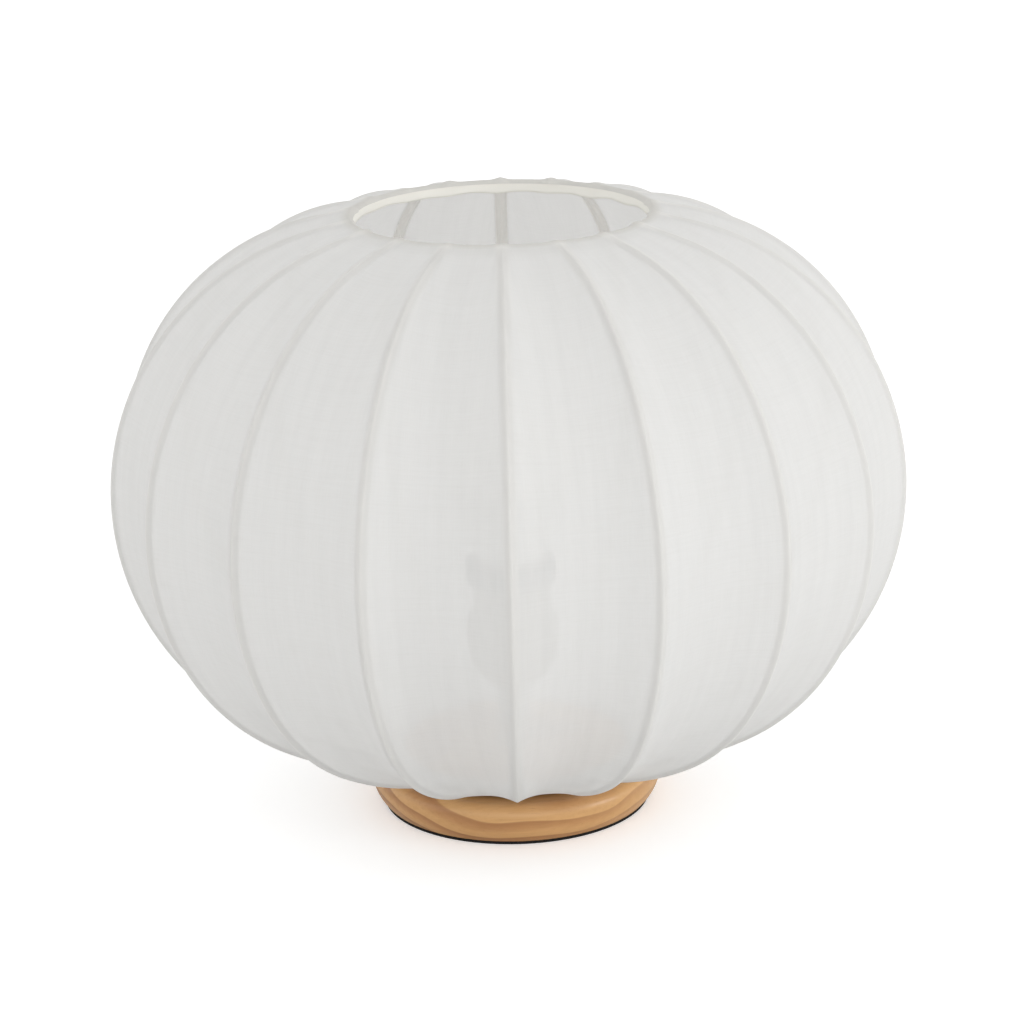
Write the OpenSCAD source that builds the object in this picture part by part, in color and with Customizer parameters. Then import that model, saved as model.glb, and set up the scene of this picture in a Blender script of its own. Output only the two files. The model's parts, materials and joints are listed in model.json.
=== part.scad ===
// Table lantern: a cloth cover stretched over eighteen bent wires, standing on
// a turned wooden disc that carries an E27 lamp holder and a bulb.
// Millimetres. Origin at the middle of the foot pad's underside, +Z up,
// -Y to the front. Rib 1 is at the front.

/* [Shade] */
// Widest diameter of the cover, measured over the ribs
shade_d = 350; // [335:1:365]
// Radius of the top ring, to the middle of its wire
top_ring_r = 65.5; // [62:0.5:70]
// Radius of the bottom ring, to the middle of its wire
bottom_ring_r = 52.5; // [50:0.5:56]
// Depth of the hollow between two ribs, at the widest level
panel_dip = 7.5; // [2:0.5:9]
// Thickness of the cover
cover_t = 0.6; // [0.4:0.1:0.8]
// Diameter of the rib wire
rib_wire_d = 2; // [1.6:0.1:2]
// Diameter of the ring wire
ring_wire_d = 3; // [2.6:0.1:3]

/* [Shade profile] */
// Radius of the upper half's first arc, from the widest level up
upper_rho_1 = 121; // [114:1:128]
// Radius of the upper half's shoulder arc
upper_rho_2 = 120; // [112:1:128]
// Radius of the upper half's last arc, up to the top ring
upper_rho_3 = 110; // [102:1:120]
// Radius of the lower half's first arc, from the widest level down
lower_rho_1 = 125; // [118:1:132]
// Radius of the lower half's second arc
lower_rho_2 = 120; // [112:1:128]
// Radius of the lower half's last arc, down to the bottom ring
lower_rho_3 = 212; // [190:1:230]

/* [Base] */
// Largest radius of the wooden disc
disc_r = 65.3; // [64:0.1:66]
// Radius of the disc's bottom edge
disc_foot_r = 60; // [58:0.1:61]
// Height of the seat that the cover stands on
seat_z = 19.4; // [19:0.1:22]
// Height of the step that locates the cover, above the seat
step_h = 6; // [4:0.5:8]
// Thickness of the foot pad
pad_t = 1.5; // [1:0.1:2]

/* [Lamp holder and bulb] */
// Level of the lamp holder's underside
holder_z = 55; // [46:1:58]
// Radius of the lamp holder
holder_r = 20; // [19:0.5:22]
// Radius of the bulb's globe
bulb_r = 30; // [27:0.5:32]
// Radius of the hole for the cord
cord_bore_r = 3.1; // [2.8:0.1:3.3]

/* [Hidden] */
$fn = 96;
N_RIBS = 18;
STEP_A = 360 / N_RIBS;
R = shade_d / 2;
wr = rib_wire_d / 2;
rr = ring_wire_d / 2;
// the wire's middle lies this far inside the cover's outer face
wire_in = cover_t + wr + 0.6;
BREAKS = [0, 30, 60];
UP = [upper_rho_1, upper_rho_2, upper_rho_3];
LO = [lower_rho_1, lower_rho_2, lower_rho_3];

// middle of arc i of a half profile, as [radius, height from the widest level]
function arc_mid(q, i) = i == 0 ? [R - q[0], 0]
    : arc_mid(q, i - 1) + (q[i - 1] - q[i]) * [cos(BREAKS[i]), sin(BREAKS[i])];
// which arc holds the angle a
function arc_of(a) = a < 30 ? 0 : a < 60 ? 1 : 2;
// point of a half profile at angle a, o inside the cover's outer face
function half_pt(q, a, o) = arc_mid(q, arc_of(a)) + (q[arc_of(a)] - o) * [cos(a), sin(a)];
// angle at which the wire's middle line reaches radius r
function end_a(q, r) = acos((r - arc_mid(q, 2)[0]) / (q[2] - wire_in));
UP_END = end_a(UP, top_ring_r);
LO_END = end_a(LO, bottom_ring_r);
hem_ri = rr + 0.1;
hem_ro = hem_ri + cover_t;
// the cover's bottom hem stands on the seat
ring_bot_z = seat_z + hem_ro + 0.3;
eq_z = ring_bot_z + half_pt(LO, LO_END, wire_in)[1];
ring_top_z = eq_z + half_pt(UP, UP_END, wire_in)[1];

// length in degrees of a run of wire on the last arc
function deg_on(q, s) = s / (q[2] - wire_in) * 180 / PI;
// angles of the cover's rows, from the top ring to the bottom ring
ROWS_U = 12;
ROWS_L = 12;
COLS = 6;
edge_s = 2.8;
UA = UP_END - deg_on(UP, edge_s);
LA = LO_END - deg_on(LO, edge_s);
// rows as signed angles: positive above the widest level, negative below
ROW_A = concat([for (i = [0 : ROWS_U - 1]) UA * (1 - i / ROWS_U)],
               [for (i = [0 : ROWS_L]) -LA * i / ROWS_L]);
function row_pt(a, o) = a >= 0
    ? [half_pt(UP, a, o)[0], eq_z + half_pt(UP, a, o)[1]]
    : [half_pt(LO, -a, o)[0], eq_z - half_pt(LO, -a, o)[1]];
function ease(x) = let (t = min(max(x, 0), 1)) t * t * (3 - 2 * t);
// the cover leaves each round ring as a circle and then turns hollow
function held(a) = a >= 0
    ? ease((UA - a) * PI / 180 * UP[2] / 34)
    : ease((LA + a) * PI / 180 * LO[2] / 34);
// point of the cover between ribs: f runs from 0 at one rib to 1 at the next
function cover_pt(k, a, f, o) =
    let (p = row_pt(a, o),
         gap = 0.15 / (p[0] * STEP_A * PI / 180),
         g = gap + f * (1 - 2 * gap),
         loc = (g - 0.5) * STEP_A,
         chord = 1 + (cos(STEP_A / 2) / cos(loc) - 1) * held(a),
         d = panel_dip * pow(p[0] / R, 1.6) * (1 - pow(2 * g - 1, 2)) * held(a),
         r = p[0] * chord - d * cos(a),
         z = p[1] - d * sin(a),
         phi = -90 + (k - 1 + g) * STEP_A)
    [r * cos(phi), r * sin(phi), z];

NR = len(ROW_A);
NC = COLS + 1;
function idx(s, i, j) = s * NR * NC + i * NC + j;

// ---- shade -----------------------------------------------------------------

// a round wire bent into a ring
module wire_ring(r, z, w) {
    translate([0, 0, z]) rotate_extrude() translate([r, 0]) circle(r = w);
}

module top_ring() { color("WhiteSmoke") wire_ring(top_ring_r, ring_top_z, rr); }
module bottom_ring() { color("WhiteSmoke") wire_ring(bottom_ring_r, ring_bot_z, rr); }

// a strip of cover folded round a ring's wire, open where the ribs come in
module hem(r, z, tilt) {
    translate([0, 0, z]) rotate_extrude() translate([r, 0]) rotate(tilt)
        difference() {
            circle(r = hem_ro);
            circle(r = hem_ri);
            polygon([[0, 0], [6, -7.2], [12, 0], [6, 7.2]]);
        }
}

module top_hem() { color("Ivory") hem(top_ring_r, ring_top_z, UP_END - 90); }
module bottom_hem() { color("Ivory") hem(bottom_ring_r, ring_bot_z, 90 - LO_END); }

// rows of a rib's wire: the cover's rows, and its two ends just off the rings
RIB_A = concat([UP_END - deg_on(UP, rr + 0.05)], ROW_A, [-LO_END + deg_on(LO, rr + 0.05)]);
WIRE_SIDES = 8;
function wire_pt(k, a, t) =
    let (c = row_pt(a, wire_in), phi = -90 + (k - 1) * STEP_A,
         u = wr * cos(t), v = wr * sin(t),
         r = c[0] + u * cos(a), z = c[1] + u * sin(a))
    [r * cos(phi) - v * sin(phi), r * sin(phi) + v * cos(phi), z];

// a bent wire from the top ring to the bottom ring
module rib(k) {
    n = len(RIB_A);
    m = WIRE_SIDES;
    pts = [for (a = RIB_A) for (j = [0 : m - 1]) wire_pt(k, a, (j + 0.5) * 360 / m)];
    side = [for (i = [0 : n - 2]) for (j = [0 : m - 1]) let (h = (j + 1) % m) each
        [[i * m + j, i * m + h, (i + 1) * m + h], [i * m + j, (i + 1) * m + h, (i + 1) * m + j]]];
    ends = [[for (j = [m - 1 : -1 : 0]) j], [for (j = [0 : m - 1]) (n - 1) * m + j]];
    color("WhiteSmoke") polyhedron(points = pts, faces = concat(side, ends));
}

// one gore of the cover, from rib k to the next
module cover_panel(k) {
    pts = concat([for (a = ROW_A) for (j = [0 : COLS]) cover_pt(k, a, j / COLS, 0)],
                 [for (a = ROW_A) for (j = [0 : COLS]) cover_pt(k, a, j / COLS, cover_t)]);
    out = [for (i = [0 : NR - 2]) for (j = [0 : COLS - 1]) each
        [[idx(0, i, j), idx(0, i, j + 1), idx(0, i + 1, j + 1)],
         [idx(0, i, j), idx(0, i + 1, j + 1), idx(0, i + 1, j)]]];
    inn = [for (i = [0 : NR - 2]) for (j = [0 : COLS - 1]) each
        [[idx(1, i, j), idx(1, i + 1, j + 1), idx(1, i, j + 1)],
         [idx(1, i, j), idx(1, i + 1, j), idx(1, i + 1, j + 1)]]];
    ends = [for (j = [0 : COLS - 1]) each
        [[idx(0, 0, j), idx(1, 0, j), idx(1, 0, j + 1)],
         [idx(0, 0, j), idx(1, 0, j + 1), idx(0, 0, j + 1)],
         [idx(0, NR - 1, j), idx(1, NR - 1, j + 1), idx(1, NR - 1, j)],
         [idx(0, NR - 1, j), idx(0, NR - 1, j + 1), idx(1, NR - 1, j + 1)]]];
    sides = [for (i = [0 : NR - 2]) each
        [[idx(0, i, 0), idx(0, i + 1, 0), idx(1, i + 1, 0)],
         [idx(0, i, 0), idx(1, i + 1, 0), idx(1, i, 0)],
         [idx(0, i, COLS), idx(1, i + 1, COLS), idx(0, i + 1, COLS)],
         [idx(0, i, COLS), idx(1, i, COLS), idx(1, i + 1, COLS)]]];
    color("White") polyhedron(points = pts, faces = concat(out, inn, ends, sides));
}

// ---- base ------------------------------------------------------------------

shoulder_r = 5;
side_h = seat_z - shoulder_r - pad_t;
// the side is one arc, upright at the shoulder and leaning in below it
side_rho = (pow(disc_r - disc_foot_r, 2) + pow(side_h, 2)) / (2 * (disc_r - disc_foot_r));
shoulder_z = seat_z - shoulder_r;
recess_r = 38;
recess_z = 13;
cord_z = 7.5;
tube_r = 4.95;
tube_bore = 5.05;
step_r = bottom_ring_r - hem_ro - 0.8;

module disc_profile() {
    intersection() {
        translate([disc_r - side_rho, shoulder_z]) circle(r = side_rho);
        translate([disc_r - side_rho, pad_t]) square([side_rho + 1, side_h]);
    }
    intersection() {
        translate([disc_r - shoulder_r, shoulder_z]) circle(r = shoulder_r);
        translate([disc_r - shoulder_r, shoulder_z]) square([shoulder_r + 1, shoulder_r + 1]);
    }
    translate([0, pad_t]) square([disc_r - side_rho + 0.5, seat_z - pad_t]);
    translate([0, shoulder_z - 1]) square([disc_r - shoulder_r + 0.001, shoulder_r + 1]);
    translate([0, seat_z - 1]) square([step_r, step_h + 1]);
}

// turned disc: a seat and a step for the cover, a recess below for the nut
// and the wiring, and a hole to the back for the cord
module wood_base() {
    color("BurlyWood") difference() {
        rotate_extrude() disc_profile();
        translate([0, 0, -1]) cylinder(r = recess_r, h = recess_z + 1);
        translate([0, 0, 1]) cylinder(r = tube_bore + 0.05, h = seat_z + step_h);
        translate([0, recess_r - 6, cord_z]) rotate([-90, 0, 0]) cylinder(r = 4.2, h = 40);
        translate([0, 61.6, cord_z]) rotate([-90, 0, 0]) cylinder(r = 5.6, h = 10);
    }
}

module foot_pad() {
    color("Black") cylinder(r = disc_foot_r - 0.3, h = pad_t - 0.02);
}

// bush with two collars that lines the cord's hole
module cord_grommet() {
    color("DimGray") translate([0, 0, cord_z]) rotate([-90, 0, 0]) difference() {
        union() {
            translate([0, 0, 35.2]) cylinder(r = 5.5, h = 2);
            translate([0, 0, 36]) cylinder(r = 4.1, h = 26);
            translate([0, 0, 61.7]) cylinder(r = 5.4, h = 2);
        }
        translate([0, 0, 30]) cylinder(r = cord_bore_r, h = 40);
    }
}

module threaded_tube() {
    color("Silver") translate([0, 0, 5]) difference() {
        cylinder(r = tube_r, h = holder_z + 2.5);
        translate([0, 0, -1]) cylinder(r = 3.6, h = holder_z + 10);
    }
}

module lower_washer() {
    color("Silver") translate([0, 0, recess_z - 1.7]) difference() {
        cylinder(r = 13, h = 1.6);
        translate([0, 0, -1]) cylinder(r = tube_bore + 0.2, h = 5);
    }
}

module lower_nut() {
    color("Silver") translate([0, 0, recess_z - 5.8]) difference() {
        cylinder(r = 8.1, h = 4, $fn = 6);
        translate([0, 0, -1]) cylinder(r = tube_bore, h = 6);
    }
}

module spacer_tube() {
    color("Silver") translate([0, 0, seat_z + step_h + 0.1]) difference() {
        cylinder(r = 7.5, h = holder_z - seat_z - step_h - 0.2);
        translate([0, 0, -1]) cylinder(r = tube_bore, h = holder_z);
    }
}

// ---- lamp holder, all levels measured from its underside ---------------------

module holder_cap() {
    color("DimGray") translate([0, 0, holder_z]) rotate_extrude() polygon([
        [tube_bore, 0], [11.5, 0], [15, 3.5], [holder_r - 1.5, 8.5], [holder_r, 14],
        [holder_r, 21], [holder_r - 2, 21], [holder_r - 2, 14.5], [holder_r - 3.5, 10],
        [13, 6], [9, 4.5], [9, 8], [tube_bore, 8]]);
}

module holder_insert() {
    color("Linen") translate([0, 0, holder_z]) difference() {
        union() {
            translate([0, 0, 14]) cylinder(r = 15, h = 14);
            translate([0, 0, 19]) cylinder(r = holder_r - 2.2, h = 2);
        }
        translate([0, 0, 10]) cylinder(r = 2, h = 20);
        for (s = [-1, 1]) translate([9 * s, 0, 13]) cylinder(r = 1.5, h = 9.5);
    }
}

// two terminal screws, heads down into the cap's wiring space
module terminal_screws() {
    color("Gold") for (s = [-1, 1]) translate([9 * s, 0, holder_z]) difference() {
        union() {
            translate([0, 0, 11.3]) cylinder(r = 2.6, h = 2.6);
            translate([0, 0, 13]) cylinder(r = 1.4, h = 9);
        }
        translate([-0.4, -4, 11]) cube([0.8, 8, 1]);
    }
}

// spring tongue that meets the bulb's button
module centre_contact() {
    color("Gold") translate([0, 0, holder_z + 28.1]) {
        difference() {
            cylinder(r = 5, h = 0.8);
            translate([-6, 2.5, -1]) cube([12, 6, 4]);
            translate([-6, -8.5, -1]) cube([12, 6, 4]);
        }
        translate([0, 0, -6]) cylinder(r = 1.8, h = 6.4);
    }
}

module screw_shell() {
    color("Gold") translate([0, 0, holder_z + 28.1]) rotate_extrude() polygon([
        [8, 0], [14, 0], [14, 26], [14.4, 26.4], [14, 26.8], [13.5, 26.3], [13.5, 0.5], [8, 0.5]]);
}

module holder_shell() {
    color("DimGray") translate([0, 0, holder_z]) rotate_extrude() polygon([
        [15.2, 21.2], [holder_r, 21.2], [holder_r + 0.4, 22], [holder_r + 0.4, 29],
        [holder_r - 0.4, 30], [17.2, 31.5], [17.2, 57.2], [16.6, 57.8], [14.9, 57.8],
        [14.9, 55.4], [15.2, 54.8]]);
}

// ring nut on the holder's threaded neck
module holder_collar() {
    color("Black") translate([0, 0, holder_z]) rotate_extrude() polygon([
        [17.5, 47], [holder_r - 0.6, 47], [holder_r, 47.6], [holder_r, 56.2],
        [holder_r - 0.8, 57], [17.5, 57]]);
}

// ---- bulb ------------------------------------------------------------------

bulb_z = holder_z + 29.3;
thread_p = 3.63;
cap_h = 28;
globe_z = bulb_z + 28.4 + 49.5;

module bulb_contact() {
    color("Silver") translate([0, 0, bulb_z]) rotate_extrude() polygon([
        [0, 0], [3.5, 0], [5, 0.8], [5, 1.4], [0, 1.4]]);
}

module bulb_insulator() {
    color("Black") translate([0, 0, bulb_z]) rotate_extrude() polygon([
        [0, 1.5], [5, 1.5], [9.5, 4.2], [9.5, 6], [0, 6]]);
}

// metal cap: rings stand in for the screw thread
module bulb_cap() {
    color("Silver") translate([0, 0, bulb_z]) rotate_extrude() polygon(concat(
        [[9.6, 6.1], [9.6, 4.4], [12.2, 6.2]],
        [for (i = [0 : 4]) each [[12.3, 6.6 + i * thread_p], [13.1, 7.8 + i * thread_p],
            [13.1, 8.4 + i * thread_p], [12.3, 9.6 + i * thread_p]]],
        [[12.9, 25.6], [13.1, cap_h], [12.5, cap_h], [11.6, 25], [11.6, 7.2], [10.4, 6.1]]));
}

module bulb_housing() {
    color("White") translate([0, 0, bulb_z + cap_h + 0.1]) rotate_extrude() polygon([
        [12.2, 0], [13.6, 0], [15.4, 0.8], [17, 6.5], [19.4, 15], [22.3, 24.5], [24.6, 32.2],
        [23.2, 32.2], [20.9, 24.8], [18, 15.4], [15.6, 7], [14.2, 2], [12.2, 1.6]]);
}

module led_board() {
    color("Silver") translate([0, 0, bulb_z + cap_h + 28]) cylinder(r = 20.8, h = 1.4);
    color("Khaki") for (a = [0 : 45 : 315])
        translate([14 * cos(a), 14 * sin(a), bulb_z + cap_h + 29.3]) cylinder(r = 1.6, h = 0.9);
}

module bulb_globe() {
    color("Snow") translate([0, 0, globe_z]) difference() {
        sphere(r = bulb_r);
        sphere(r = bulb_r - 1.3);
        translate([0, 0, -bulb_r - 17.1]) cube([80, 80, 2 * bulb_r], center = true);
    }
}

// ---- what is drawn -----------------------------------------------------------

top_ring();
bottom_ring();
top_hem();
bottom_hem();
rib(1);  // rib_01
rib(2);  // rib_02
rib(3);  // rib_03
rib(4);  // rib_04
rib(5);  // rib_05
rib(6);  // rib_06
rib(7);  // rib_07
rib(8);  // rib_08
rib(9);  // rib_09
rib(10);  // rib_10
rib(11);  // rib_11
rib(12);  // rib_12
rib(13);  // rib_13
rib(14);  // rib_14
rib(15);  // rib_15
rib(16);  // rib_16
rib(17);  // rib_17
rib(18);  // rib_18
cover_panel(1);  // cover_panel_01
cover_panel(2);  // cover_panel_02
cover_panel(3);  // cover_panel_03
cover_panel(4);  // cover_panel_04
cover_panel(5);  // cover_panel_05
cover_panel(6);  // cover_panel_06
cover_panel(7);  // cover_panel_07
cover_panel(8);  // cover_panel_08
cover_panel(9);  // cover_panel_09
cover_panel(10);  // cover_panel_10
cover_panel(11);  // cover_panel_11
cover_panel(12);  // cover_panel_12
cover_panel(13);  // cover_panel_13
cover_panel(14);  // cover_panel_14
cover_panel(15);  // cover_panel_15
cover_panel(16);  // cover_panel_16
cover_panel(17);  // cover_panel_17
cover_panel(18);  // cover_panel_18
wood_base();
foot_pad();
cord_grommet();
threaded_tube();
lower_washer();
lower_nut();
spacer_tube();
holder_cap();
holder_insert();
terminal_screws();
centre_contact();
screw_shell();
holder_shell();
holder_collar();
bulb_contact();
bulb_insulator();
bulb_cap();
bulb_housing();
led_board();
bulb_globe();
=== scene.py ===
import bpy, bmesh, json, math
import numpy as np
from mathutils import Vector, Matrix


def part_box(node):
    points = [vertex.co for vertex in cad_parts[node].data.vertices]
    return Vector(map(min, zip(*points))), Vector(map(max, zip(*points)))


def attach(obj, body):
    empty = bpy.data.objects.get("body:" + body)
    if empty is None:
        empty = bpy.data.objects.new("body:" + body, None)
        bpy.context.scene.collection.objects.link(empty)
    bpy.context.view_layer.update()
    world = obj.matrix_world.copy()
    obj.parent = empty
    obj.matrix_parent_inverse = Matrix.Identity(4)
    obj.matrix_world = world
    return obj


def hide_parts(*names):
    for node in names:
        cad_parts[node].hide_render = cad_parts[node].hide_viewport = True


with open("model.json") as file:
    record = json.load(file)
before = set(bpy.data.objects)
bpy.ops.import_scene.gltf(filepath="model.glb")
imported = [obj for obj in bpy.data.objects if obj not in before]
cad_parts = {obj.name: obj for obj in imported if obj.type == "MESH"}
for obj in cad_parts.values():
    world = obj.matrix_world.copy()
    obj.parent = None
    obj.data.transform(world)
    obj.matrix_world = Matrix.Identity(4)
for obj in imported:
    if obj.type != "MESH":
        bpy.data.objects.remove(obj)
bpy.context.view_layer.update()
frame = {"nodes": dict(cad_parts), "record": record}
nodes = frame["nodes"]
rng = np.random.RandomState(11)
MM = 0.001

# ---------------------------------------------------------------------------
# the lantern's profile, as in the CAD model (millimetres)
# ---------------------------------------------------------------------------
R = 175.0
UP = (121.0, 120.0, 110.0)
LO = (125.0, 120.0, 212.0)
WIRE_IN = 2.2            # the wire's middle inside the CAD cover's outer face
WR = 1.0                 # rib wire
RING = 1.5               # ring wire
TOP_R, BOT_R = 65.5, 52.5
N_RIBS = 18
STEP = 2 * math.pi / N_RIBS
_lo, _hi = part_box("top_ring")
RING_TOP_Z = (_lo.z + _hi.z) / 2 / MM
_lo, _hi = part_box("bottom_ring")
RING_BOT_Z = (_lo.z + _hi.z) / 2 / MM


def arc_mid(q, i):
    c = np.array([R - q[0], 0.0])
    for k in range(1, i + 1):
        a = math.radians(30 * k)
        c = c + (q[k - 1] - q[k]) * np.array([math.cos(a), math.sin(a)])
    return c


def end_angle(q, r):
    return math.acos((r - arc_mid(q, 2)[0]) / (q[2] - WIRE_IN))


UP_END, LO_END = end_angle(UP, TOP_R), end_angle(LO, BOT_R)


def half_pt(q, a, o):
    i = 0 if a < math.radians(30) else 1 if a < math.radians(60) else 2
    return arc_mid(q, i) + (q[i] - o) * np.array([math.cos(a), math.sin(a)])


EQ_Z = RING_BOT_Z + half_pt(LO, LO_END, WIRE_IN)[1]


def wire_pt(a):
    """(radius, height) of a rib wire's middle at signed angle a."""
    if a >= 0:
        p = half_pt(UP, a, WIRE_IN)
        return np.array([p[0], EQ_Z + p[1]])
    p = half_pt(LO, -a, WIRE_IN)
    return np.array([p[0], EQ_Z - p[1]])


def even_rows(a_top, a_bot, n):
    """n + 1 signed angles from a_top down to a_bot, evenly spaced along the wire."""
    fine = np.linspace(a_top, a_bot, 4001)
    pts = np.array([wire_pt(a) for a in fine])
    s = np.concatenate([[0], np.cumsum(np.linalg.norm(np.diff(pts, axis=0), axis=1))])
    return np.interp(np.linspace(0, s[-1], n + 1), s, fine), s[-1]


# ---------------------------------------------------------------------------
# small helpers
# ---------------------------------------------------------------------------
def make_mesh(name, verts, faces, smooth=True):
    me = bpy.data.meshes.new(name)
    me.from_pydata([tuple(v) for v in verts], [], [tuple(f) for f in faces])
    me.update()
    me.validate()
    if smooth:
        me.polygons.foreach_set("use_smooth", [True] * len(me.polygons))
    ob = bpy.data.objects.new(name, me)
    bpy.context.scene.collection.objects.link(ob)
    return ob


def set_uv(ob, uv_of_vertex):
    layer = ob.data.uv_layers.new(name="UVMap")
    idx = np.zeros(len(ob.data.loops), np.int64)
    ob.data.loops.foreach_get("vertex_index", idx)
    layer.data.foreach_set("uv", np.asarray(uv_of_vertex, float)[idx].ravel())


def float_attr(ob, name, values):
    at = ob.data.attributes.new(name, "FLOAT", "POINT")
    at.data.foreach_set("value", np.asarray(values, np.float32))


def bake_modifiers(ob):
    dg = bpy.context.evaluated_depsgraph_get()
    me = bpy.data.meshes.new_from_object(ob.evaluated_get(dg))
    old = ob.data
    ob.modifiers.clear()
    ob.data = me
    if old.users == 0:
        bpy.data.meshes.remove(old)
    return ob


def tube(name, path, radius, sides=12, closed=False, normals=None):
    """A round wire along path, in millimetres; normals gives each ring's first direction."""
    path = np.asarray(path, float)
    n = len(path)
    if closed:
        tan = np.roll(path, -1, 0) - np.roll(path, 1, 0)
    else:
        tan = np.gradient(path, axis=0)
    tan /= np.linalg.norm(tan, axis=1)[:, None]
    rad = np.broadcast_to(np.asarray(radius, float), (n,))
    verts = []
    for i in range(n):
        u = np.asarray(normals[i], float)
        u = u - tan[i] * (u @ tan[i])
        u /= np.linalg.norm(u)
        w = np.cross(tan[i], u)
        for j in range(sides):
            t = 2 * math.pi * j / sides
            verts.append((path[i] + rad[i] * (math.cos(t) * u + math.sin(t) * w)) * MM)
    faces = []
    for i in range(n if closed else n - 1):
        k = (i + 1) % n
        for j in range(sides):
            h = (j + 1) % sides
            faces.append((i * sides + j, i * sides + h, k * sides + h, k * sides + j))
    if not closed:
        faces.append(tuple(range(sides))[::-1])
        faces.append(tuple((n - 1) * sides + j for j in range(sides)))
    return make_mesh(name, verts, faces)


# ---------------------------------------------------------------------------
# materials
# ---------------------------------------------------------------------------
def new_mat(name):
    m = bpy.data.materials.new(name)
    m.use_nodes = True
    nt = m.node_tree
    nt.nodes.clear()
    out = nt.nodes.new("ShaderNodeOutputMaterial")
    return m, nt, out


def node(nt, kind, **inputs):
    n = nt.nodes.new(kind)
    for key, value in inputs.items():
        if key.startswith("_"):
            setattr(n, key[1:], value)
        else:
            n.inputs[key.replace("__", " ")].default_value = value
    return n


def ramp(nt, src, stops):
    r = nt.nodes.new("ShaderNodeValToRGB")
    e = r.color_ramp.elements
    e[0].position, e[0].color = stops[0][0], (*stops[0][1], 1)
    e[1].position, e[1].color = stops[-1][0], (*stops[-1][1], 1)
    for p, c in stops[1:-1]:
        x = e.new(p)
        x.color = (*c, 1)
    nt.links.new(src, r.inputs[0])
    return r.outputs[0]


def math_node(nt, op, a, b=None, clamp=False):
    n = nt.nodes.new("ShaderNodeMath")
    n.operation = op
    n.use_clamp = clamp
    for i, v in enumerate((a, b)):
        if v is None:
            continue
        if isinstance(v, (int, float)):
            n.inputs[i].default_value = v
        else:
            nt.links.new(v, n.inputs[i])
    return n.outputs[0]


def mix_rgb(nt, fac, a, b, mode="MIX"):
    n = nt.nodes.new("ShaderNodeMix")
    n.data_type = "RGBA"
    n.blend_type = mode
    for sock, v in ((n.inputs[0], fac), (n.inputs[6], a), (n.inputs[7], b)):
        if isinstance(v, (int, float)):
            sock.default_value = v
        elif isinstance(v, tuple):
            sock.default_value = (*v, 1)
        else:
            nt.links.new(v, sock)
    return n.outputs[2]


def scaled(nt, src, scale, loc=(0, 0, 0)):
    m = nt.nodes.new("ShaderNodeMapping")
    m.inputs["Scale"].default_value = scale
    m.inputs["Location"].default_value = loc
    nt.links.new(src, m.inputs[0])
    return m.outputs[0]


def noise(nt, vec, scale, detail=3.0, rough=0.55, dist=0.0):
    n = nt.nodes.new("ShaderNodeTexNoise")
    n.inputs["Scale"].default_value = scale
    n.inputs["Detail"].default_value = detail
    n.inputs["Roughness"].default_value = rough
    n.inputs["Distortion"].default_value = dist
    nt.links.new(vec, n.inputs["Vector"])
    return n.outputs[0]


def bump(nt, height, strength, distance):
    b = nt.nodes.new("ShaderNodeBump")
    b.inputs["Strength"].default_value = strength
    b.inputs["Distance"].default_value = distance
    nt.links.new(height, b.inputs["Height"])
    return b.outputs[0]


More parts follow.
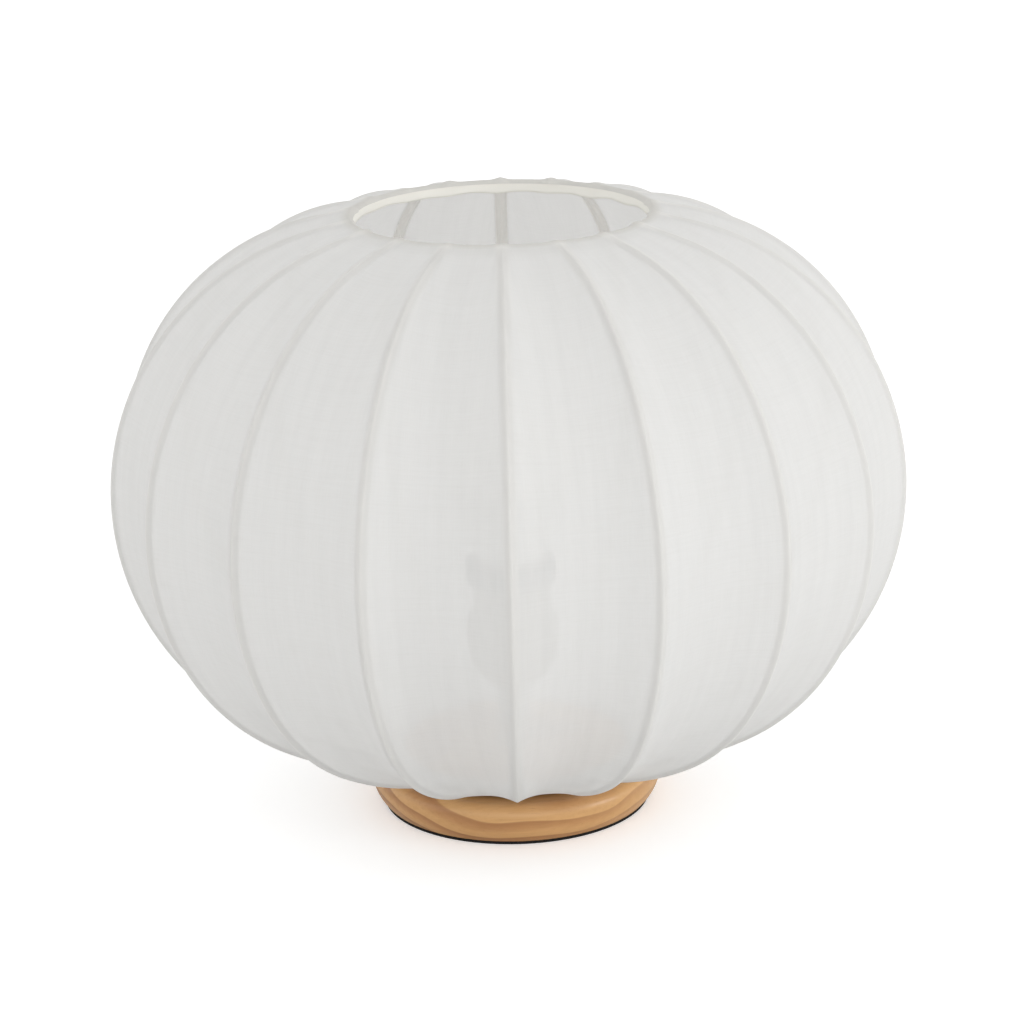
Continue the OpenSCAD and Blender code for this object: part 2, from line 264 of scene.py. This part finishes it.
def cloth_material():
    """Thin white cloth: slubs across each gore, faint threads down it, and light coming through."""
    m, nt, out = new_mat("cover_cloth")
    uv = nt.nodes.new("ShaderNodeUVMap").outputs[0]     # 1 unit is 100 mm
    slub = noise(nt, scaled(nt, uv, (2.2, 95.0, 1.0)), 1.0, 3.0, 0.6)
    fine = noise(nt, scaled(nt, uv, (14.0, 260.0, 1.0), (3, 7, 0)), 1.0, 2.0, 0.6)
    warp = noise(nt, scaled(nt, uv, (240.0, 9.0, 1.0), (9, 2, 0)), 1.0, 2.0, 0.6)
    cloud = noise(nt, scaled(nt, uv, (1.6, 1.1, 1.0), (5, 5, 0)), 1.0, 2.0, 0.5)
    weave = math_node(nt, "ADD", math_node(nt, "MULTIPLY", slub, 0.34),
                      math_node(nt, "ADD", math_node(nt, "MULTIPLY", fine, 0.30),
                                math_node(nt, "MULTIPLY", warp, 0.36)))
    tone = ramp(nt, weave, [(0.30, (0.850, 0.848, 0.835)), (0.50, (0.882, 0.882, 0.873)),
                            (0.70, (0.905, 0.905, 0.898))])
    tone = mix_rgb(nt, math_node(nt, "MULTIPLY", cloud, 0.20), tone, (0.835, 0.825, 0.800), "MIX")
    # the seam over each rib is doubled, so it turns back more of the light; its tone is also painted lighter, a
    # painted highlight along each rib that offsets the shade the casing casts through the cloth
    seam = nt.nodes.new("ShaderNodeAttribute")
    seam.attribute_name = "seam"
    tone = mix_rgb(nt, math_node(nt, "MULTIPLY", seam.outputs["Fac"], 0.75), tone,
                   (0.975, 0.968, 0.945), "MIX")
    # painted shade: the cloth folded over each ring is painted darker, to cancel the extra light that the
    # upward-facing fold catches
    rim = nt.nodes.new("ShaderNodeAttribute")
    rim.attribute_name = "rim"
    tone = mix_rgb(nt, rim.outputs["Fac"], tone, (0.80, 0.79, 0.765), "MIX")
    # long soft streaks down the cloth
    streak = noise(nt, scaled(nt, uv, (22.0, 0.7, 1.0), (1, 4, 0)), 1.0, 2.0, 0.5)
    tone = mix_rgb(nt, 0.5, tone, ramp(nt, streak, [(0.30, (0.955, 0.955, 0.955)), (0.62, (1.0, 1.0, 1.0))]),
                   "MULTIPLY")
    bp = bump(nt, weave, 0.14, 0.0002)
    p = node(nt, "ShaderNodeBsdfPrincipled", Roughness=0.82)
    p.inputs["Sheen Weight"].default_value = 0.12
    p.inputs["Sheen Roughness"].default_value = 0.5
    p.inputs["Specular IOR Level"].default_value = 0.25
    nt.links.new(tone, p.inputs["Base Color"])
    nt.links.new(bp, p.inputs["Normal"])
    tr = node(nt, "ShaderNodeBsdfTranslucent")
    nt.links.new(tone, tr.inputs["Color"])
    nt.links.new(bp, tr.inputs["Normal"])
    mx = node(nt, "ShaderNodeMixShader")
    mx.inputs[0].default_value = 0.34
    nt.links.new(p.outputs[0], mx.inputs[1])
    nt.links.new(tr.outputs[0], mx.inputs[2])
    tp = node(nt, "ShaderNodeBsdfTransparent")
    mt = node(nt, "ShaderNodeMixShader")
    mt.inputs[0].default_value = 0.10
    nt.links.new(mx.outputs[0], mt.inputs[1])
    nt.links.new(tp.outputs[0], mt.inputs[2])
    nt.links.new(mt.outputs[0], out.inputs[0])
    return m


def hem_material():
    m, nt, out = new_mat("hem_tape")
    uv = nt.nodes.new("ShaderNodeUVMap").outputs[0]
    a = noise(nt, scaled(nt, uv, (160.0, 14.0, 1.0)), 1.0, 2.0, 0.6)
    b = noise(nt, scaled(nt, uv, (6.0, 220.0, 1.0), (4, 1, 0)), 1.0, 2.0, 0.6)
    c = noise(nt, scaled(nt, uv, (2.0, 2.0, 1.0), (8, 3, 0)), 1.0, 2.0, 0.5)
    w = math_node(nt, "ADD", math_node(nt, "MULTIPLY", a, 0.5), math_node(nt, "MULTIPLY", b, 0.5))
    tone = ramp(nt, w, [(0.30, (0.885, 0.878, 0.850)), (0.70, (0.955, 0.950, 0.930))])
    tone = mix_rgb(nt, math_node(nt, "MULTIPLY", c, 0.3), tone, (0.92, 0.905, 0.860), "MIX")
    band = nt.nodes.new("ShaderNodeAttribute")
    band.attribute_name = "band"
    tone = mix_rgb(nt, math_node(nt, "MULTIPLY", band.outputs["Fac"], 0.8), tone, (0.835, 0.820, 0.755), "MIX")
    p = node(nt, "ShaderNodeBsdfPrincipled", Roughness=0.85)
    p.inputs["Sheen Weight"].default_value = 0.1
    p.inputs["Specular IOR Level"].default_value = 0.25
    # stands for the daylight that the thin tape lets through
    p.inputs["Emission Color"].default_value = (1.0, 0.985, 0.955, 1)
    p.inputs["Emission Strength"].default_value = 0.035
    nt.links.new(tone, p.inputs["Base Color"])
    nt.links.new(bump(nt, w, 0.3, 0.0003), p.inputs["Normal"])
    nt.links.new(p.outputs[0], out.inputs[0])
    return m


def wire_material():
    m, nt, out = new_mat("wire")
    co = nt.nodes.new("ShaderNodeTexCoord").outputs["Object"]
    a = noise(nt, scaled(nt, co, (90, 90, 90)), 1.0, 3.0, 0.6)
    b = noise(nt, scaled(nt, co, (900, 900, 900)), 1.0, 2.0, 0.6)
    tone = ramp(nt, a, [(0.3, (0.50, 0.485, 0.455)), (0.7, (0.60, 0.585, 0.555))])
    p = node(nt, "ShaderNodeBsdfPrincipled")
    nt.links.new(tone, p.inputs["Base Color"])
    nt.links.new(ramp(nt, b, [(0.3, (0.36,) * 3), (0.7, (0.50,) * 3)]), p.inputs["Roughness"])
    nt.links.new(bump(nt, b, 0.12, 0.0001), p.inputs["Normal"])
    nt.links.new(p.outputs[0], out.inputs[0])
    return m


def wood_material():
    """Pale hardwood: the disc is cut with its grain along X and the growth rings bowed below it."""
    m, nt, out = new_mat("turned_wood")
    co = nt.nodes.new("ShaderNodeTexCoord").outputs["Object"]
    sep = nt.nodes.new("ShaderNodeSeparateXYZ")
    warp = noise(nt, scaled(nt, co, (9.0, 14.0, 20.0), (1.3, 0.4, 2.2)), 1.0, 2.0, 0.45)
    nt.links.new(co, sep.inputs[0])
    y = math_node(nt, "ADD", sep.outputs[1], 0.004)
    z = math_node(nt, "ADD", sep.outputs[2], 0.096)
    d = math_node(nt, "SQRT", math_node(nt, "ADD", math_node(nt, "MULTIPLY", y, y),
                                        math_node(nt, "MULTIPLY", z, z)))
    d = math_node(nt, "ADD", d, math_node(nt, "MULTIPLY", math_node(nt, "SUBTRACT", warp, 0.5), 0.034))
    # the rings drift along the board, which gives the long tongues
    d = math_node(nt, "ADD", d, math_node(nt, "MULTIPLY", sep.outputs[0], 0.09))
    rings = math_node(nt, "FRACT", math_node(nt, "ADD", math_node(nt, "MULTIPLY", d, 118.0), 0.30))
    # each ring darkens slowly and ends sharply
    tone = ramp(nt, rings, [(0.0, (0.700, 0.400, 0.160)), (0.35, (0.660, 0.364, 0.144)),
                            (0.66, (0.520, 0.253, 0.093)), (0.90, (0.400, 0.172, 0.060)),
                            (0.955, (0.440, 0.203, 0.073)), (1.0, (0.700, 0.400, 0.160))])
    fibre = noise(nt, scaled(nt, co, (26.0, 480.0, 480.0)), 1.0, 4.0, 0.65)
    pores = noise(nt, scaled(nt, co, (90.0, 1500.0, 1500.0), (2, 2, 2)), 1.0, 2.0, 0.7)
    tone = mix_rgb(nt, 0.45, tone, ramp(nt, fibre, [(0.30, (0.76, 0.68, 0.58)), (0.62, (1.0, 1.0, 1.0))]),
                   "MULTIPLY")
    tone = mix_rgb(nt, 0.35, tone, ramp(nt, pores, [(0.26, (0.60, 0.48, 0.38)), (0.40, (1.0, 1.0, 1.0))]),
                   "MULTIPLY")
    broad = noise(nt, scaled(nt, co, (9.0, 26.0, 26.0), (6, 1, 3)), 1.0, 2.0, 0.5)
    # the tone turns paler towards +X
    paler_to_plus_x = math_node(nt, "ADD", math_node(nt, "MULTIPLY", sep.outputs[0], 9.0), 0.0, clamp=True)
    pale = math_node(nt, "ADD", math_node(nt, "MULTIPLY", broad, 0.25), paler_to_plus_x, clamp=True)
    tone = mix_rgb(nt, math_node(nt, "MULTIPLY", pale, 0.75), tone, (0.740, 0.435, 0.180), "MIX")
    p = node(nt, "ShaderNodeBsdfPrincipled")
    p.inputs["Specular IOR Level"].default_value = 0.45
    p.inputs["Coat Weight"].default_value = 0.40
    p.inputs["Coat Roughness"].default_value = 0.20
    nt.links.new(tone, p.inputs["Base Color"])
    nt.links.new(ramp(nt, fibre, [(0.3, (0.52,) * 3), (0.7, (0.40,) * 3)]), p.inputs["Roughness"])
    h = math_node(nt, "ADD", math_node(nt, "MULTIPLY", fibre, 0.5), math_node(nt, "MULTIPLY", pores, 0.5))
    nt.links.new(bump(nt, h, 0.16, 0.0002), p.inputs["Normal"])
    nt.links.new(p.outputs[0], out.inputs[0])
    return m


def speckled(name, dark, light, rough, scale, spec=0.5, metallic=0.0, bump_d=0.0001, bump_s=0.15,
             stretch=(1, 1, 1), glow=0.0):
    """A plain moulded, felted or plated surface with its own fine grain and uneven gloss."""
    m, nt, out = new_mat(name)
    co = nt.nodes.new("ShaderNodeTexCoord").outputs["Object"]
    v = scaled(nt, co, tuple(scale * s for s in stretch))
    a = noise(nt, v, 1.0, 4.0, 0.65)
    b = noise(nt, scaled(nt, co, (35, 35, 35), (3, 1, 2)), 1.0, 2.0, 0.5)
    tone = ramp(nt, a, [(0.30, dark), (0.70, light)])
    tone = mix_rgb(nt, math_node(nt, "MULTIPLY", b, 0.3), tone, dark, "MIX")
    p = node(nt, "ShaderNodeBsdfPrincipled", Metallic=metallic)
    p.inputs["Specular IOR Level"].default_value = spec
    if glow:
        p.inputs["Emission Color"].default_value = (1.0, 0.97, 0.92, 1)
        p.inputs["Emission Strength"].default_value = glow
    nt.links.new(tone, p.inputs["Base Color"])
    nt.links.new(ramp(nt, a, [(0.3, (rough[0],) * 3), (0.7, (rough[1],) * 3)]), p.inputs["Roughness"])
    nt.links.new(bump(nt, a, bump_s, bump_d), p.inputs["Normal"])
    nt.links.new(p.outputs[0], out.inputs[0])
    return m


MAT = {
    "cover_cloth": cloth_material(),
    "hem_tape": hem_material(),
    "wire": wire_material(),
    "turned_wood": wood_material(),
    "black_pad": speckled("black_pad", (0.006, 0.006, 0.006), (0.022, 0.021, 0.020), (0.92, 0.78), 1500,
                          spec=0.2, bump_d=0.0004, bump_s=0.5),
    "plated_steel": speckled("plated_steel", (0.52, 0.52, 0.50), (0.68, 0.68, 0.66), (0.30, 0.42), 900,
                             metallic=1.0, stretch=(1, 1, 6)),
    "holder_plastic": speckled("holder_plastic", (0.330, 0.300, 0.250), (0.430, 0.395, 0.335), (0.36, 0.50), 700,
                               stretch=(1, 1, 0.3)),
    "collar_black": speckled("collar_black", (0.010, 0.010, 0.010), (0.024, 0.023, 0.022), (0.38, 0.52), 1400),
    "insulator": speckled("insulator", (0.66, 0.62, 0.54), (0.78, 0.75, 0.68), (0.45, 0.6), 1100),
    "contact_brass": speckled("contact_brass", (0.52, 0.34, 0.12), (0.68, 0.47, 0.19), (0.28, 0.42), 900,
                              metallic=1.0),
    "bulb_white": speckled("bulb_white", (0.80, 0.80, 0.78), (0.86, 0.86, 0.85), (0.30, 0.40), 1200, bump_s=0.05),
    "led_board": speckled("led_board", (0.70, 0.70, 0.68), (0.80, 0.80, 0.78), (0.35, 0.5), 800, metallic=0.6),
    "bulb_opal": speckled("bulb_opal", (0.82, 0.82, 0.80), (0.88, 0.88, 0.865), (0.22, 0.30), 1200, bump_s=0.04,
                          glow=0.10),
}
for sub in frame["record"]["subparts"]:
    ob = nodes.get(sub["node"])
    if ob is not None:
        ob.data.materials.clear()
        ob.data.materials.append(MAT[sub["material_slot"]])

# ---------------------------------------------------------------------------
# the cloth gores: a thin film pulled over two bent wires and folded over two rings
# ---------------------------------------------------------------------------
RIDGE = WR + 0.30                        # cloth over a wire, from the wire's middle
FOLD = RING + 0.60                       # cloth over a ring, from the ring's middle
ROWS = 104
FILM = 20                                # columns of free cloth
WRAP = 4                                 # columns of cloth bent round each wire
TURN = 7                                 # rows folded over each ring
TURN_A = math.radians(78)

ROW_A, LENGTH = even_rows(UP_END, -LO_END, ROWS)
DS = LENGTH / ROWS
ROW_S = np.arange(ROWS + 1) * DS
WIRE = np.array([wire_pt(a) for a in ROW_A])
NR_, NZ_ = np.cos(ROW_A), np.sin(ROW_A)
WIDTH = WIRE[:, 0] * STEP


def smooth(t):
    t = np.clip(t, 0, 1)
    return t * t * (3 - 2 * t)


def curve_radius():
    rho = np.array([(UP if a >= 0 else LO)[0 if abs(a) < math.pi / 6 else 1 if abs(a) < math.pi / 3 else 2]
                    for a in ROW_A])
    k = np.ones(17) / 17
    return np.convolve(np.pad(rho, 8, mode="edge"), k, mode="valid")


RHO = curve_radius()
# how far the cloth hollows between two wires; it is pulled tightest towards the bottom ring
DIP = 7.9 * (WIRE[:, 0] / R) ** np.where(ROW_A > 0, 1.5, 0.75)
PULL = np.clip(8 * RHO * DIP / WIDTH ** 2, 1.2, 8.0)
HELD = smooth(ROW_S / 26.0) * smooth((ROW_S[-1] - ROW_S) / 26.0)
SLOPE = np.arctan(math.tan(STEP / 2) + 4 * DIP / WIDTH) * HELD + 0.06
# the ridge rises a little where it climbs over each ring
LIFT = (FOLD - RIDGE) * (1 - smooth(ROW_S / 9.0) * smooth((ROW_S[-1] - ROW_S) / 9.0))


def rib_frame(phi, i):
    e_r = np.array([math.cos(phi), math.sin(phi), 0.0])
    e_b = np.array([-math.sin(phi), math.cos(phi), 0.0])
    up = np.array([0, 0, 1.0])
    return WIRE[i, 0] * e_r + WIRE[i, 1] * up, NR_[i] * e_r + NZ_[i] * up, e_b


def ring_row(beta, top, phis, knots):
    """Points of the cloth over a ring at angle beta from straight out, at the azimuths phis."""
    r0, z0, s = (TOP_R, RING_TOP_Z, 1.0) if top else (BOT_R, RING_BOT_Z, -1.0)
    rad = np.full(len(phis), FOLD)
    if top:
        # the gathered seams make a small knot over each rib's end
        rad = rad + knots[0] * np.exp(-(phis / 0.042) ** 2) + knots[1] * np.exp(-((phis - STEP) / 0.042) ** 2)
    r, z = r0 + rad * math.cos(beta), z0 + s * rad * math.sin(beta)
    return np.stack([r * np.cos(phis), r * np.sin(phis), z], 1)


def build_gore(even, wob, knots):
    """One gore between azimuths 0 and STEP, as an array (rows, columns, 3)."""
    n = len(ROW_A)
    pull = PULL * even
    left = np.zeros((n, WRAP + 1, 3))
    right = np.zeros((n, WRAP + 1, 3))
    rise = 1 - smooth(ROW_S / 12.0)
    for i in range(n):
        rad = RIDGE + LIFT[i]
        for t in range(WRAP + 1):
            th = SLOPE[i] * t / WRAP
            mid, e_n, e_b = rib_frame(0.0, i)
            left[i, t] = mid + (rad + knots[0] * rise[i]) * (math.cos(th) * e_n + math.sin(th) * e_b)
            mid, e_n, e_b = rib_frame(STEP, i)
            right[i, t] = mid + (rad + knots[1] * rise[i]) * (math.cos(th) * e_n - math.sin(th) * e_b)
    m = FILM + 1 + 2 * WRAP
    # the ends lie on the folded hem as circles
    edge = {}
    for i, top in ((0, True), (n - 1, False)):
        fa = math.atan2(left[i, -1][1], left[i, -1][0])
        edge[i] = ring_row(UP_END if top else LO_END, top, np.linspace(fa, STEP - fa, FILM + 1), knots)
    a_edge, b_edge = left[:, -1].copy(), right[:, -1].copy()
    mi, mj = n - 2, FILM - 1
    A = np.zeros((mi * mj, mi * mj))
    rhs = np.zeros((mi * mj, 3))
    dw = WIDTH / FILM

    def put(row, i, j, q):
        if i in edge:
            rhs[row] += q * edge[i][j]
        elif j == 0:
            rhs[row] += q * a_edge[i]
        elif j == FILM:
            rhs[row] += q * b_edge[i]
        else:
            A[row, (i - 1) * mj + (j - 1)] -= q

    for i in range(1, n - 1):
        qh = DS / dw[i]
        qu = 0.5 * (pull[i] * dw[i] + pull[i - 1] * dw[i - 1]) / DS
        qd = 0.5 * (pull[i] * dw[i] + pull[i + 1] * dw[i + 1]) / DS
        for j in range(1, FILM):
            row = (i - 1) * mj + (j - 1)
            A[row, row] += 2 * qh + qu + qd
            put(row, i, j - 1, qh)
            put(row, i, j + 1, qh)
            put(row, i - 1, j, qu)
            put(row, i + 1, j, qd)
    x = np.linalg.solve(A, rhs)
    film = np.zeros((n, FILM + 1, 3))
    film[0], film[-1] = edge[0], edge[n - 1]
    film[:, 0], film[:, -1] = a_edge, b_edge
    film[1:-1, 1:-1] = x.reshape(mi, mj, 3)
    # hand-made cloth isn't quite even: long shallow waves that fade out at the wires
    jj = np.arange(FILM + 1) / FILM
    fade = np.sin(math.pi * jj)[None, :] * HELD[:, None]
    v = ROW_S / ROW_S[-1]
    wave = np.zeros((n, FILM + 1))
    for amp, fu, fv, pu, pv in wob:
        wave += amp * np.sin(2 * math.pi * fv * v + pv)[:, None] * np.cos(math.pi * fu * jj + pu)[None, :]
    e_r = np.array([math.cos(STEP / 2), math.sin(STEP / 2), 0.0])
    nrm = NR_[:, None] * e_r[None, :] + NZ_[:, None] * np.array([0, 0, 1.0])[None, :]
    film += (wave * fade)[:, :, None] * nrm[:, None, :]
    grid = np.concatenate([left[:, :-1], film, right[:, :-1][:, ::-1]], axis=1)
    # fold over the rings
    tops, bots = [], []
    for t in range(1, TURN + 1):
        ph = np.arctan2(grid[0, :, 1], grid[0, :, 0])
        tops.append(ring_row(UP_END + TURN_A * t / TURN, True, ph, knots))
        ph = np.arctan2(grid[-1, :, 1], grid[-1, :, 0])
        bots.append(ring_row(LO_END + TURN_A * t / TURN, False, ph, knots))
    return np.concatenate([np.array(tops)[::-1], grid, np.array(bots)], axis=0)


def turn_z(p, ang):
    c_, s_ = math.cos(ang), math.sin(ang)
    q = p.copy()
    q[..., 0] = p[..., 0] * c_ - p[..., 1] * s_
    q[..., 1] = p[..., 0] * s_ + p[..., 1] * c_
    return q


def grid_mesh(name, g, closed_u=False):
    """A mesh of quads over a grid (rows, columns, 3) in millimetres, facing away from the axis."""
    n, m = g.shape[:2]
    faces = [(i * m + j, (i + 1) * m + j, (i + 1) * m + (j + 1) % m, i * m + (j + 1) % m)
             for i in range(n - 1) for j in range(m if closed_u else m - 1)]
    return make_mesh(name, g.reshape(-1, 3) * MM, faces)


def spans(p, axis):
    d = np.linalg.norm(np.diff(p, axis=axis), axis=2)
    z = np.zeros((1, p.shape[1]) if axis == 0 else (p.shape[0], 1))
    return np.concatenate([z, np.cumsum(d, axis=axis)], axis=axis)


def build_casing():
    """The strip that wraps the wire from inside: a fold round the wire with a flange on each side."""
    lo_, hi_ = int(4.5 / DS) + 1, len(ROW_A) - 1 - int(4.5 / DS) - 1
    rows = []
    for i in range(lo_, hi_ + 1):
        th = SLOPE[i]
        mid, e_n, e_b = rib_frame(0.0, i)

        def at(ang, rad):
            return mid + rad * (math.cos(ang) * e_n + math.sin(ang) * e_b)
        half = []
        rad = RIDGE + LIFT[i]
        far = WR + 0.35
        for sgn in (1, -1):
            n_ = math.cos(th) * e_n + sgn * math.sin(th) * e_b
            t_ = -math.sin(th) * e_n + sgn * math.cos(th) * e_b
            p = mid + rad * n_
            foot = p - 0.32 * n_ + 2.2 * t_
            over = at(sgn * math.radians(140), far)
            pts = [p - 0.28 * n_ + 2.7 * t_, foot]
            for q in (0.25, 0.5, 0.75):
                sag = 0.10 * math.sin(math.pi * q)
                pts.append(foot * (1 - q) + over * q + sag * n_)
            pts += [over, at(sgn * math.radians(160), far)]
            half.append(pts)
        rows.append(half[0] + [at(math.pi, far)] + half[1][::-1])
    return np.array(rows)


CASING = build_casing()
KNOT = [0.75 + 0.35 * rng.uniform(-1, 1) for _ in range(N_RIBS)]
for k in range(1, N_RIBS + 1):
    turned = -math.pi / 2 + (k - 1) * STEP
    wob = [(0.16 * rng.uniform(0.4, 1), rng.choice([0.5, 1, 2]), rng.uniform(0.8, 2.4),
            rng.uniform(0, 6.28), rng.uniform(0, 6.28)) for _ in range(3)]
    g = build_gore(1 + 0.04 * rng.uniform(-1, 1), wob, (KNOT[k - 1], KNOT[k % N_RIBS]))
    across = spans(g, 1)
    ob = grid_mesh(f"gore_{k:02d}", turn_z(g, turned))
    # texture runs in hundreds of millimetres, square to the gore's middle line
    u = (across - across[:, -1:] / 2) / 100.0 + 3.7 * k
    v = spans(g, 0)[:, g.shape[1] // 2][:, None] / 100.0 + 0 * u + 1.9 * k
    set_uv(ob, np.stack([u, v], -1).reshape(-1, 2))
    # mask for the painted highlight over each rib's doubled seam
    dist = np.minimum(across, across[:, -1:] - across)
    float_attr(ob, "seam", (1 - smooth((dist - 2.0) / 1.4)).ravel())
    # mask for the painted shade on the rows folded over the rings
    rowi = np.arange(g.shape[0])[:, None] + 0 * dist
    edge_rows = np.minimum(rowi, g.shape[0] - 1 - rowi)
    float_attr(ob, "rim", (1 - smooth((edge_rows - TURN) / 1.0)).ravel())
    ob.data.materials.append(MAT["cover_cloth"])
    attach(ob, "shade")
    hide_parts(f"cover_panel_{k:02d}")
    c = grid_mesh(f"rib_casing_{k:02d}", turn_z(CASING, turned))
    cu, cv = spans(CASING, 1), spans(CASING, 0)
    set_uv(c, np.stack([cu / 100.0 + 2.3 * k, cv / 100.0], -1).reshape(-1, 2))
    c.data.materials.append(MAT["hem_tape"])
    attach(c, "shade")

# ---------------------------------------------------------------------------
# the hems: tape folded round each ring, hanging a few millimetres inside it
# ---------------------------------------------------------------------------
HEM_T = 0.28


def build_hem(top):
    r0, z0, s = (TOP_R, RING_TOP_Z, 1.0) if top else (BOT_R, RING_BOT_Z, -1.0)
    end = UP_END if top else LO_END
    n = N_RIBS * 14
    phis = np.arange(n) * 2 * math.pi / n - math.pi / 2
    loc = (np.arange(n) % 14) / 14.0
    drop = 3.5 + 0.35 * np.cos(2 * math.pi * loc)
    for f in (3, 5, 11, 17):
        drop = drop + 0.16 * np.sin(f * phis + rng.uniform(0, 6.28))
    mid_r = RING + 0.10 + HEM_T / 2
    start = end + math.radians(2)
    tx, tz = math.sin(end), -math.cos(end)          # outwards along the cover
    line = []
    for i in range(n):
        path = []
        # outer flange, lying under the cover and over the rib wires
        hollow = 0.05 + 0.26 * math.sin(math.pi * loc[i]) ** 2
        for d in (3.6, 2.4, 1.2):
            path.append((mid_r * math.cos(start) + d * tx, mid_r * math.sin(start) + d * tz - hollow * d))
        for t in np.linspace(start, math.pi, 9):
            path.append((mid_r * math.cos(t), mid_r * math.sin(t)))
        inner = -mid_r - 0.05
        for q in (0.35, 0.7, 1.0):
            path.append((inner + 0.22 * q * math.sin(5 * phis[i] + 1.0), -drop[i] * q))
        path = np.array(path)
        tan = np.gradient(path, axis=0)
        tan /= np.linalg.norm(tan, axis=1)[:, None]
        nrm = np.stack([-tan[:, 1], tan[:, 0]], 1)
        if nrm[5] @ path[5] < 0:
            nrm = -nrm
        ring = np.concatenate([path + nrm * HEM_T / 2, (path - nrm * HEM_T / 2)[::-1]])
        x, y = math.cos(phis[i]), math.sin(phis[i])
        line.append([((r0 + q[0]) * x, (r0 + q[0]) * y, z0 + s * q[1]) for q in ring])
    return np.array(line)


for top in (True, False):
    h = build_hem(top)
    n, m = h.shape[:2]
    verts = h.reshape(-1, 3) * MM
    faces = [(i * m + j, i * m + (j + 1) % m, ((i + 1) % n) * m + (j + 1) % m, ((i + 1) % n) * m + j)
             for i in range(n) for j in range(m)]
    if not top:
        faces = [f[::-1] for f in faces]
    name = "hem_of_top" if top else "hem_of_bottom"
    ob = make_mesh(name, verts, faces)
    rr_ = TOP_R if top else BOT_R
    along = np.repeat((np.arange(n) / n * 2 * math.pi * rr_ / 100.0)[:, None], m, 1)
    around = np.tile(np.arange(m)[None, :] * 0.8 / 100.0, (n, 1))
    set_uv(ob, np.stack([along, around], -1).reshape(-1, 2))
    float_attr(ob, "band", np.ones(len(verts)))
    ob.data.materials.append(MAT["hem_tape"])
    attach(ob, "shade")
    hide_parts("top_hem" if top else "bottom_hem")

# ---------------------------------------------------------------------------
# stage, light, camera
# ---------------------------------------------------------------------------
scene = bpy.context.scene
floor = make_mesh("floor", [(-6, -6, 0), (6, -6, 0), (6, 6, 0), (-6, 6, 0)], [(0, 1, 2, 3)], smooth=False)
fm, nt, out = new_mat("floor_white")
fb = node(nt, "ShaderNodeBsdfPrincipled", Roughness=0.9)
fb.inputs["Base Color"].default_value = (0.82, 0.82, 0.82, 1)
fb.inputs["Specular IOR Level"].default_value = 0.1
fb.inputs["Emission Color"].default_value = (1, 1, 1, 1)
fb.inputs["Emission Strength"].default_value = 0.02
fs = node(nt, "ShaderNodeBsdfPrincipled", Roughness=0.9)
fs.inputs["Base Color"].default_value = (0.86, 0.86, 0.86, 1)
fs.inputs["Specular IOR Level"].default_value = 0.1
fs.inputs["Emission Color"].default_value = (1, 1, 1, 1)
fs.inputs["Emission Strength"].default_value = 0.38
fl = nt.nodes.new("ShaderNodeLightPath")
fx = nt.nodes.new("ShaderNodeMixShader")
nt.links.new(fl.outputs["Is Camera Ray"], fx.inputs[0])
nt.links.new(fb.outputs[0], fx.inputs[1])
nt.links.new(fs.outputs[0], fx.inputs[2])
nt.links.new(fx.outputs[0], out.inputs[0])
floor.data.materials.append(fm)

world = bpy.data.worlds.new("studio")
world.use_nodes = True
wt = world.node_tree
wd = wt.nodes.new("ShaderNodeSeparateXYZ")
wt.links.new(wt.nodes.new("ShaderNodeTexCoord").outputs["Generated"], wd.inputs[0])
sky = ramp(wt, wd.outputs[2], [(0.0, (1.0, 1.0, 1.0)), (0.30, (0.96, 0.96, 0.96)), (1.0, (0.64, 0.64, 0.64))])
wt.links.new(sky, wt.nodes["Background"].inputs[0])
wt.nodes["Background"].inputs[1].default_value = 1.14
seen = wt.nodes.new("ShaderNodeBackground")
seen.inputs[0].default_value = (1, 1, 1, 1)
seen.inputs[1].default_value = 1.02
lp = wt.nodes.new("ShaderNodeLightPath")
wm = wt.nodes.new("ShaderNodeMixShader")
wt.links.new(lp.outputs["Is Camera Ray"], wm.inputs[0])
wt.links.new(wt.nodes["Background"].outputs[0], wm.inputs[1])
wt.links.new(seen.outputs[0], wm.inputs[2])
wt.links.new(wm.outputs[0], wt.nodes["World Output"].inputs[0])
scene.world = world


def area_light(name, at, aim, size, power, colour=(1, 1, 1)):
    d = bpy.data.lights.new(name, "AREA")
    d.shape = "DISK"
    d.size = size
    d.energy = power
    d.color = colour
    o = bpy.data.objects.new(name, d)
    o.location = at
    o.rotation_euler = (Vector(aim) - Vector(at)).to_track_quat("-Z", "Y").to_euler()
    scene.collection.objects.link(o)
    return o


area_light("key", (2.2, -0.9, 0.35), (0, 0, 0.14), 0.9, 10.5)
area_light("front", (0.3, -2.2, 0.35), (0, 0, 0.14), 1.2, 3.0)

cam = bpy.data.cameras.new("camera")
cam_ob = bpy.data.objects.new("camera", cam)
scene.collection.objects.link(cam_ob)
CAM_D, CAM_H, CAM_PITCH, CAM_YAW, CAM_ROLL, CAM_F = 1.354, 0.56327, 0.30761, 0.00088, -0.0272, 3219.0
cp, sp, cy, sy = math.cos(CAM_PITCH), math.sin(CAM_PITCH), math.cos(CAM_YAW), math.sin(CAM_YAW)
fwd = Vector((sy * cp, cy * cp, -sp))
right = Vector((cy, -sy, 0.0))
up = right.cross(fwd)
cr, sr = math.cos(CAM_ROLL), math.sin(CAM_ROLL)
r2, u2 = cr * right + sr * up, -sr * right + cr * up
cam_ob.matrix_world = Matrix(((r2.x, u2.x, -fwd.x, 0), (r2.y, u2.y, -fwd.y, -CAM_D),
                              (r2.z, u2.z, -fwd.z, CAM_H), (0, 0, 0, 1)))
cam.sensor_width = 36.0
cam.lens = 36.0 * CAM_F / 1024.0
cam.clip_start = 0.05
cam.clip_end = 50.0
scene.camera = cam_ob
scene.view_settings.view_transform = "Standard"
